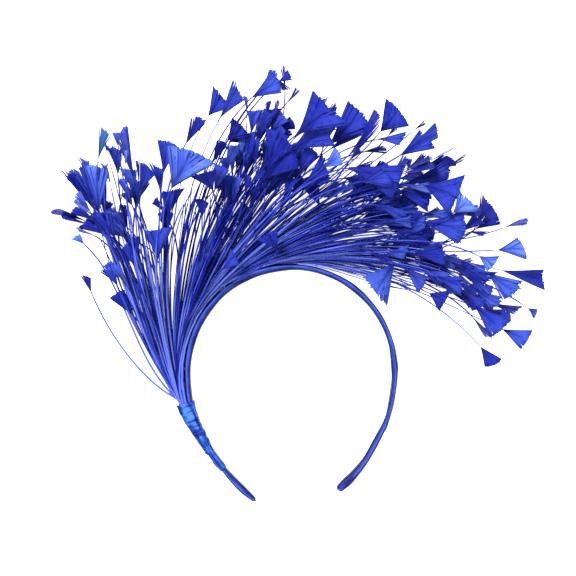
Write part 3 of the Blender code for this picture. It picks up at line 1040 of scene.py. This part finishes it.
def scattered(patch, count):
    rows = []
    for _ in range(count):
        turn, far = chance.uniform(0, math.tau), math.sqrt(chance.uniform(0, 1))
        rows.append(
            FeatherRow(
                patch.px_x + math.cos(turn) * far * patch.reach_x,
                patch.px_y + math.sin(turn) * far * patch.reach_y,
                chance.uniform(*FILL_LIFTS),
                patch.heading + chance.normal(0, HEADING_SPREAD),
                chance.uniform(*FILL_LENGTHS),
                chance.uniform(*FILL_HALF_ANGLES),
                chance.uniform(*FILL_TONES),
            )
        )
    return tuple(rows)


def hides_gap(row):
    """Whether the middle of this fan lies over one of the gaps."""
    heading, half = math.radians(row.heading), row.length_px / 2
    x, y = row.px_x + math.cos(heading) * half, row.px_y - math.sin(heading) * half
    far = [math.hypot((x - gap.px_x) / gap.reach_x, (y - gap.px_y) / gap.reach_y) for gap in GAPS]
    return min(far) < 1


def filled(patches):
    rows = [row for patch in patches for row in scattered(patch, patch.fans)]
    return tuple(row for row in rows if not hides_gap(row))


LEFT_FILL = filled(LEFT_PATCHES)
HEART_FILL = filled(HEART_PATCHES)
BARE = tuple(row for patch in LEFT_PATCHES + HEART_PATCHES for row in scattered(patch, patch.bare))
print(len(LEFT_FILL + HEART_FILL), "feathers and", len(BARE), "bare quills fill the dense parts")

# %% [markdown]
# ## The quills
#
# A quill is the stripped shaft of a feather, thin and springy. It leaves the tape, runs in the
# bundle along the outside of the band, leaves the band on its tangent and then rises in one long
# curve to its fan, where it goes on as the fan's rib. Blender's hair could carry such lines, but an
# exported piece has to be a mesh. So each line is worked out as points: places in the bundle, and
# then a cubic curve whose handles follow the band at one end and the fan at the other.
#
# Quills that leave the band first lie outermost in the bundle, so that they don't cross the rest,
# and each wanders a little on the way. Those for the left side leave the tape at once and splay.
# Those for the lowest fans on the right leave the band sooner than a tangent asks, and droop.

# %% Where a quill leaves the band
FIRST_LEAVE = 77 * MM
LAST_LEAVE = 212 * MM
DROOP = 40 * MM
DROOP_ACROSS = (60 * MM, 130 * MM)
DROOP_DOWN = (-20 * MM, 40 * MM)


def bearing(vector):
    return math.atan2(vector[1], vector[0])


def way_of(angle):
    return np.array((math.cos(angle), math.sin(angle), 0.0))


def leaves_at(neck):
    """The length of band at which the quill for this fan leaves the band, on the tangent."""
    droop = DROOP * ease(neck[0], *DROOP_ACROSS) * ease(-neck[1], *DROOP_DOWN)
    away = neck + (0, droop, 0) - RING_MIDDLE
    edge = RING_RADIUS + BAND_THICKNESS / 2
    angle = bearing(away) + math.acos(min(edge / np.hypot(*away[:2]), 1.0))
    along = ARC_FROM + (math.pi - angle % math.tau) * RING_RADIUS
    return min(max(along, FIRST_LEAVE), LAST_LEAVE)


print("quills leave", round(FIRST_LEAVE / MM), "to", round(LAST_LEAVE / MM), "mm from the left tip")

# %% Its place in the bundle
BUNDLE_FROM = 58 * MM
STATION_STEP = 5 * MM
ROOT_LENGTH = 18 * MM
ROOT_CLEAR = 1.5 * MM
OUTERMOST = 0.95
LANE_SPREAD = 0.17
WANDER = 0.11
WANDER_LENGTH = 9 * MM
PRESSED = 0.25 * MM
QUILL_MARGIN = 0.5 * MM
LOWEST_RISE = 0.22
RISE_SHARE = 0.56
RISE_SPREAD = 0.2


def kept_inside(share):
    """This share, bent softly so that it stays between 0 and 1."""
    return 0.5 + 0.5 * np.tanh(2 * (share - 0.5))


def in_bundle(leave, late, climb, lane):
    """The quill's points from inside the tape to where it leaves, and the band's way on there."""
    start = max(leave - ROOT_LENGTH * late, TAPE_TO + ROOT_CLEAR)
    share = (leave - FIRST_LEAVE) / (LAST_LEAVE - FIRST_LEAVE)
    depth = OUTERMOST - share + lane * LANE_SPREAD
    rise = LOWEST_RISE + RISE_SHARE * climb + chance.uniform(-RISE_SPREAD, RISE_SPREAD)
    stations = np.linspace(BUNDLE_FROM, start, max(2, int((start - BUNDLE_FROM) / STATION_STEP) + 1))
    middle, on, out, thickness = band_at(stations)
    width, low, high = bundle_at(stations)
    wander = WANDER * np.sin(stations / WANDER_LENGTH + chance.uniform(0, math.tau))
    depths = kept_inside(depth + wander)
    points = middle + out * (thickness / 2 + PRESSED + (width - PRESSED) * depths)[:, None]
    points[:, 2] = low + QUILL_MARGIN + (high - low - 2 * QUILL_MARGIN) * rise
    return points, on[-1]


# %% Its curve to the fan
ROOT_EASE = 22 * MM
HIGHEST_LIFT = 60 * MM
OVERSWING = 1.9
SPLAY = math.radians(10)
SWAY = math.radians(1.6)
SLACK = (0.92, 1.15)
MOST_TURN = math.radians(32)
HANDLES = (0.33, 0.30)
LIFT_POWER = 1.2
CURVE_STEPS = 24


def quill_line(neck, heading, lane):
    """The points of a quill from inside the tape to its fan, and how steeply it climbs."""
    leave = leaves_at(neck)
    late = ease(leave, FIRST_LEAVE, FIRST_LEAVE + ROOT_EASE)
    inside, on = in_bundle(leave, late, min(neck[2] / HIGHEST_LIFT, 1.0), lane)
    root = inside[-1]
    chord = (neck - root) * (1, 1, 0)
    reach = np.linalg.norm(chord)
    swing = OVERSWING * math.remainder(bearing(chord) - bearing(on), math.tau)
    swing = max(swing, SPLAY * (1 - late))
    turn = math.remainder(heading - bearing(chord), math.tau)
    arrive = way_of(bearing(chord) + max(-MOST_TURN, min(turn, MOST_TURN)))
    sway, slack = chance.normal(0, SWAY), chance.uniform(*SLACK)
    one = root + way_of(bearing(on) + swing + sway) * reach * HANDLES[0] * slack
    two = neck - arrive * reach * HANDLES[1]
    t = np.linspace(0, 1, CURVE_STEPS)[1:, None]
    curve = root * (1 - t) ** 3 + one * 3 * t * (1 - t) ** 2 + two * 3 * t * t * (1 - t) + neck * t**3
    curve[:, 2] = root[2] + (neck[2] - root[2]) * t[:, 0] ** LIFT_POWER
    return np.vstack([inside, curve]), (neck[2] - root[2]) / reach


# %% [markdown]
# ## The fans
#
# A fan is the trimmed tip of a feather: stiff barbs leave the rib on both sides, the outer ones near
# its start and the inner ones near its end, and all are cut along one edge. Flat triangles with a
# picture of a feather would do from afar. Here each barb is a three-sided rod, flattened and bent
# from the rib out to its place on the edge, so that light falls between them. Barbs cling together
# in clumps, so the edge is a little ragged and two splits open. Sixteen different fans are made in
# unit size, and each feather takes one, sized, turned and bent to its row.

# %% Fans in unit size
FANS = 16
BARBS = 34
BARB_SIDES = 3
BARB_LENGTHS = 4
BARB_JITTER = 0.008
CLUMP_ODDS = 0.3
SPLITS = 2
SPLIT = 0.045
SPLIT_WITHIN = 0.8
SPLIT_SHARPNESS = 9
TRIM = 0.95
TRIM_SLANT = 0.07
TRIM_ROUNDING = (-0.03, 0.12)
RAGGED = (0.008, 0.014, 0.024, 0.034)
CLUMP_SHARE = 0.6
RIB_START = 0.03
RIB_REACH = 0.72
RIB_POWER = 1.25
BARB_POWER = 1.12
BARB_ROOT = 0.45
BARB_SPREAD = 0.75
BARB_TAPER = 0.35
TAPER_POWER = 8
OVERLAP = 1.5
THINNING = 0.5
SHADE_SPREAD = 0.5
BARB_ROD = straight_rod(BARB_SIDES, BARB_LENGTHS)


def unit_fan():
    """The barbs of one fan as four numbers at each vertex: x along the rib, y to both sides, how
    thick the barb is there and how far its clump waves. The second array is each barb's shade."""
    side = np.linspace(-1, 1, BARBS) + chance.normal(0, BARB_JITTER, BARBS)
    clump = np.cumsum(chance.random(BARBS) < CLUMP_ODDS)
    shift = chance.normal(0, 1, BARBS)[clump % BARBS]
    splits = chance.uniform(-SPLIT_WITHIN, SPLIT_WITHIN, SPLITS)
    parted = sum(np.sign(side - s) * np.exp(-np.abs(side - s) * SPLIT_SHARPNESS) for s in splits) * SPLIT
    slant, rounding = chance.normal(0, TRIM_SLANT), chance.uniform(*TRIM_ROUNDING)
    ragged = RAGGED[chance.integers(len(RAGGED))]
    loose = shift * CLUMP_SHARE + chance.normal(0, 1, BARBS)
    end = TRIM + slant * side - rounding * side**2 + loose * ragged
    start = RIB_START + RIB_REACH * (1 - np.minimum(np.abs(side), 1)) ** RIB_POWER

    s = BARB_ROD.places[None, :, 2]
    x = start[:, None] + (end - start)[:, None] * s
    y = side[:, None] * s**BARB_POWER + parted[:, None] * s**2
    half = 2 / BARBS * (BARB_ROOT + BARB_SPREAD * s) * (1 - BARB_TAPER * s**TAPER_POWER)
    y = y + BARB_ROD.places[None, :, 1] * half * OVERLAP
    thick = BARB_ROD.places[None, :, 0] * (1 - THINNING * s)
    wave = shift[:, None] * s**2
    shade = shift * SHADE_SPREAD + chance.normal(0, SHADE_SPREAD, BARBS)
    barbs = np.stack(np.broadcast_arrays(x, y, thick, wave), axis=-1)
    return barbs, np.repeat(shade[:, None], s.shape[1], 1)


UNIT_FANS = [unit_fan() for _ in range(FANS)]
print(len(UNIT_FANS), "unit fans of", BARBS, "barbs made")

# %% [markdown]
# A fan has a true width of its own. Where the picture shows it narrower, it is turned about its rib
# until it looks that narrow, which is how the real ones differ too.

# %% Placing a fan
FAN_HALF_ANGLE = math.radians(20)
FAN_HALF_WIDTH = 7.0 * MM
FAN_CLIMB = 0.5
BARB_THICKNESS = 0.06 * MM
CLUMP_WAVE = 0.22 * MM
LOWEST = 0.25 * MM
RIB_SHARES = np.linspace(0.08, 0.4, 4)
CUP = (-0.12, 0.3)
BEND = (-0.08, 0.12)
CURL = 0.04
UP = np.array((0.0, 0.0, 1.0))
Placed = namedtuple("Placed", "barbs shades rib line tone")


def placed(row, number):
    """The barbs and the quill of one feather."""
    neck = seen_at(row.px_x, row.px_y, row.lift * MM)
    heading, seen = math.radians(row.heading), math.radians(row.half_angle)
    length = row.length_px * PX
    line, slope = quill_line(neck, heading, chance.uniform(-1, 1))
    half_width = min(length * math.tan(max(seen, FAN_HALF_ANGLE)), FAN_HALF_WIDTH)
    half_width = max(half_width, length * math.tan(seen))
    roll = (-1) ** number * math.acos(min(length * math.tan(seen) / half_width, 1.0))
    way = way_of(heading) + UP * slope * FAN_CLIMB
    way /= np.linalg.norm(way)
    flat = np.cross(way_of(heading), UP)
    across = flat * math.cos(roll) + UP * math.sin(roll)
    normal = np.cross(across, way)
    cup, bend, curl = chance.uniform(*CUP), chance.uniform(*BEND), chance.normal(0, CURL)

    def bent(x, y, z):
        lifted = z + cup * half_width * y * y + bend * length * x * x
        sideways = y * half_width + curl * length * x * x
        spots = neck + x[..., None] * length * way + sideways[..., None] * across
        return spots + lifted[..., None] * normal

    unit, shades = UNIT_FANS[chance.integers(FANS)]
    lift = unit[..., 2] * BARB_THICKNESS + unit[..., 3] * CLUMP_WAVE
    barbs = bent(unit[..., 0], unit[..., 1], lift)
    rib = bent(RIB_SHARES, RIB_SHARES * 0, RIB_SHARES * 0)
    sunk = max(0.0, LOWEST - barbs[..., 2].min())
    barbs[..., 2] += sunk * np.clip(unit[..., 0], 0, 1)
    barbs[..., 2] = np.maximum(barbs[..., 2], LOWEST / 2)
    rib[:, 2] = np.maximum(rib[:, 2] + sunk * RIB_SHARES, LOWEST)
    return Placed(barbs, shades, rib, np.vstack([line, rib]), row.tone)


# %% Placing every feather
GROUPS = {
    "left": (LEFT_FEATHERS, LEFT_FILL),
    "middle": (MIDDLE_FEATHERS + TOP_FEATHERS, HEART_FILL[: len(HEART_FILL) // 2]),
    "right": (RIGHT_FEATHERS + TUFTS, HEART_FILL[len(HEART_FILL) // 2 :]),
}
SPRAY = {
    group: [placed(row, number) for number, row in enumerate(charted + fill)]
    for group, (charted, fill) in GROUPS.items()
}
print({group: len(feathers) for group, feathers in SPRAY.items()}, "feathers placed")

# %% [markdown]
# ## Dyed feather
#
# The dye takes unevenly. The fans run from a dark blue to a pale one, where thin barbs let the
# light through, and each is darker at its start and along its outermost barbs. The bare quills are
# glossy and run from a deeper blue to a pale one, and the pale ones have more of a clear coat, so
# that they catch the light. A colour for each feather would look flat, so cloudy noise on Object
# coordinates shifts every tone before a colour ramp turns it into blue.

# %% The fan finish
FAN_TONES = (
    (0.0, (18, 27, 128)),
    (0.3, (28, 42, 154)),
    (0.5, (40, 58, 168)),
    (0.75, (60, 84, 190)),
    (0.88, (90, 116, 210)),
    (1.0, (78, 136, 226)),
)
DARK_BARB = linear(6, 8, 70)
ROOT_DARK = 0.55
ROOT_POWER = 3.0
SIDE_DARK = 0.35
SIDE_POWER = 6.0
REACH_TONE = 0.16
REACH_MIDDLE = 0.6
BARB_CLOUDS = 90.0
BARB_CLOUD_TONE = 0.35
BARB_CLOUD_GLOSS = 0.3
BARB_ROUGHNESS = 0.5
BARB_SHEEN = 0.12


def fan_finish():
    material, wire, shader = new_finish("dyed_barbs", Specular_IOR_Level=BARB_SHEEN)
    tone, reach, side = wire.mark("tone"), wire.mark("reach"), wire.mark("side")
    clouds = wire.clouds(BARB_CLOUDS)
    level = tone + clouds * BARB_CLOUD_TONE + (reach - REACH_MIDDLE) * REACH_TONE
    dark = (1 - reach) ** ROOT_POWER * ROOT_DARK + side**SIDE_POWER * SIDE_DARK
    wire.plug(dark.between(level.ramp(FAN_TONES), DARK_BARB), shader.inputs["Base Color"])
    wire.plug(clouds * BARB_CLOUD_GLOSS + BARB_ROUGHNESS, shader.inputs["Roughness"])
    return material


# %% The quill finish
QUILL_TONES = (
    (0.0, (2, 8, 84)),
    (0.35, (12, 23, 128)),
    (0.65, (37, 54, 166)),
    (1.0, (84, 102, 198)),
)
QUILL_CLOUDS = 60.0
QUILL_CLOUD_TONE = 0.7
QUILL_CLOUD_GLOSS = 0.2
QUILL_ROUGHNESS = 0.36
QUILL_SHEEN = 0.08
COAT_ROUGHNESS = 0.22
COAT_SHARE = 0.5
COAT_LESS = 0.15


def quill_finish():
    material, wire, shader = new_finish(
        "bare_quill", Coat_Roughness=COAT_ROUGHNESS, Specular_IOR_Level=QUILL_SHEEN
    )
    clouds = wire.clouds(QUILL_CLOUDS)
    level = wire.mark("tone") + clouds * QUILL_CLOUD_TONE
    wire.plug(level.ramp(QUILL_TONES), shader.inputs["Base Color"])
    wire.plug(clouds * QUILL_CLOUD_GLOSS + QUILL_ROUGHNESS, shader.inputs["Roughness"])
    coat = level * COAT_SHARE - COAT_LESS
    wire.plug(coat.maths("MAXIMUM", coat, 0.0), shader.inputs["Coat Weight"])
    return material


FAN_FINISH = fan_finish()
QUILL_FINISH = quill_finish()
print("finishes made:", FAN_FINISH.name, "and", QUILL_FINISH.name)

# %% [markdown]
# ## From rows to meshes
#
# All fans of one side become one mesh, which keeps the pieces few. A mesh for each fan would be
# hundreds of objects. Every vertex carries its fan's tone, how far along its barb it lies and how
# far out its barb is, and the finish turns these marks into colour.

# %% The fans of each side
TONE_LIFT = 0.02
SHADE_TONE = 0.06


def vanes(group):
    feathers = SPRAY[group]
    barbs = np.concatenate([feather.barbs for feather in feathers])
    shades = np.concatenate([feather.shades for feather in feathers])
    tones = np.repeat([feather.tone for feather in feathers], BARBS)[:, None]
    side = np.tile(np.abs(np.linspace(-1, 1, BARBS)), len(feathers))[:, None]
    marks = {
        "tone": np.clip(tones + TONE_LIFT + shades * SHADE_TONE, 0, 1),
        "reach": np.broadcast_to(BARB_ROD.places[:, 2], shades.shape),
        "side": np.broadcast_to(side, shades.shape),
    }
    piece = joined(f"{group}_vanes", BARB_ROD.faces, barbs, **marks)
    piece.data.materials.append(FAN_FINISH)
    return piece


fans = [vanes(group) for group in SPRAY]

# %% [markdown]
# The quills are one mesh too. Each is the same thin rod, bent along its line, and tapered from its
# root to its neck and on to its tip. The quills of charted fans are a little stouter, because they
# lie on top. Most quills are dark and some are pale, and all are paler on the far left and on the
# right. Each darkens towards its fan. Its upper side is painted lighter and its lower side darker,
# a painted highlight and painted shade which help the eye to part it from its neighbours. A low,
# hard light would part them too, but it would also throw hard shadows on the table.

# %% One quill
QUILL_SIDES = 6
QUILL_LENGTHS = 26
QUILL_ROOT = 0.68 * MM
QUILL_NECK = 0.35 * MM
QUILL_TIP = 0.09 * MM
QUILL_ROD = straight_rod(QUILL_SIDES, QUILL_LENGTHS)


def bent_quill(line, root, neck, tip, neck_share):
    """The quill rod, bent along a line of points and tapered."""
    far = np.concatenate([[0], np.cumsum(np.linalg.norm(np.diff(line, axis=0), axis=1))])
    shares = np.linspace(0, 1, QUILL_LENGTHS + 1)
    places = np.column_stack([np.interp(shares * far[-1], far, column) for column in line.T])
    ways = np.gradient(places, axis=0)
    ways /= np.linalg.norm(ways, axis=1)[:, None]
    across = np.cross(ways, UP)
    across /= np.linalg.norm(across, axis=1)[:, None]
    over = np.cross(across, ways)
    radii = np.interp(shares, (0, neck_share, 1), (root, neck, tip))
    ring = np.rint(QUILL_ROD.places[:, 2] * QUILL_LENGTHS).astype(int)
    x, y = QUILL_ROD.places[:, 0, None], QUILL_ROD.places[:, 1, None]
    bent = places[ring] + (across[ring] * x + over[ring] * y) * radii[ring, None]
    bent[:, 2] = np.maximum(bent[:, 2], TABLE_CLEAR)
    return bent


print("one quill has", len(QUILL_ROD.faces), "triangles")

# %% All quills
STOUT = 1.2
THICKNESSES = (0.75, 1.25)
PALE_SHARE = 0.36
PALE_QUILL = (0.7, 1.0)
DARK_QUILL = (0.0, 0.42)
SIDE_TONES = (
    (-110 * MM, 0.28),
    (-50 * MM, 0.02),
    (70 * MM, 0.36),
)
FADE = 0.62
FADE_OVER = (0.45, 0.95)
TOP_LIGHT = 0.5
TOP_LIGHT_LEVEL = 0.5


def bare_line(row):
    neck = seen_at(row.px_x, row.px_y, row.lift * MM)
    return quill_line(neck, math.radians(row.heading), chance.uniform(-1, 1))[0]


def quill_shafts():
    lines = []
    for group, feathers in SPRAY.items():
        charted = len(GROUPS[group][0])
        for number, feather in enumerate(feathers):
            lines.append((feather.line, len(feather.rib), STOUT if number < charted else 1.0))
    lines += [(bare_line(row), 1, 1.0) for row in BARE]
    copies, tones = [], []
    # painted highlight on each quill's upper side, painted shade on its lower side
    painted_top_light = TOP_LIGHT * (QUILL_ROD.places[:, 1] - TOP_LIGHT_LEVEL)
    fade = 1 - FADE * ease(QUILL_ROD.places[:, 2], *FADE_OVER)
    for line, beyond, stout in lines:
        far = np.linalg.norm(np.diff(line, axis=0), axis=1)
        neck_share = far[:-beyond].sum() / far.sum()
        thick = chance.uniform(*THICKNESSES)
        neck = QUILL_NECK * thick * stout
        copies.append(bent_quill(line, QUILL_ROOT * thick, neck, QUILL_TIP, neck_share))
        shades = PALE_QUILL if chance.random() < PALE_SHARE else DARK_QUILL
        side = np.interp(line[-1, 0], *zip(*SIDE_TONES))
        tones.append((chance.uniform(*shades) + side) * fade + painted_top_light)
    piece = joined("quill_shafts", QUILL_ROD.faces, np.array(copies), tone=np.array(tones))
    piece.data.materials.append(QUILL_FINISH)
    return piece


shafts = quill_shafts()

# %% [markdown]
# ## Hand the pieces to the frame
#
# Each piece rides on the one body and says which imported node it stands for, and that node is
# hidden. The table also names the slot of the record for each finish. The last lines print both
# boxes, so that they can be compared.

# %% Ride and replace
STANDS_FOR = {
    "headband": ("headband_satin", [band]),
    "binding_tape": ("binding_satin", [tape]),
    "quill_plume": ("quill_blue", [shafts, *fans]),
}
for node, (slot, pieces) in STANDS_FOR.items():
    for piece in pieces:
        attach(piece, "root")
        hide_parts(node)
        print(piece.name, "stands for", node)

NOW_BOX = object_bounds()
boxes = {"cad": CAD_BOX, "visual": NOW_BOX}
for name, box in boxes.items():
    print(name, "box in millimetres:", [[round(value / MM, 1) for value in corner] for corner in box])
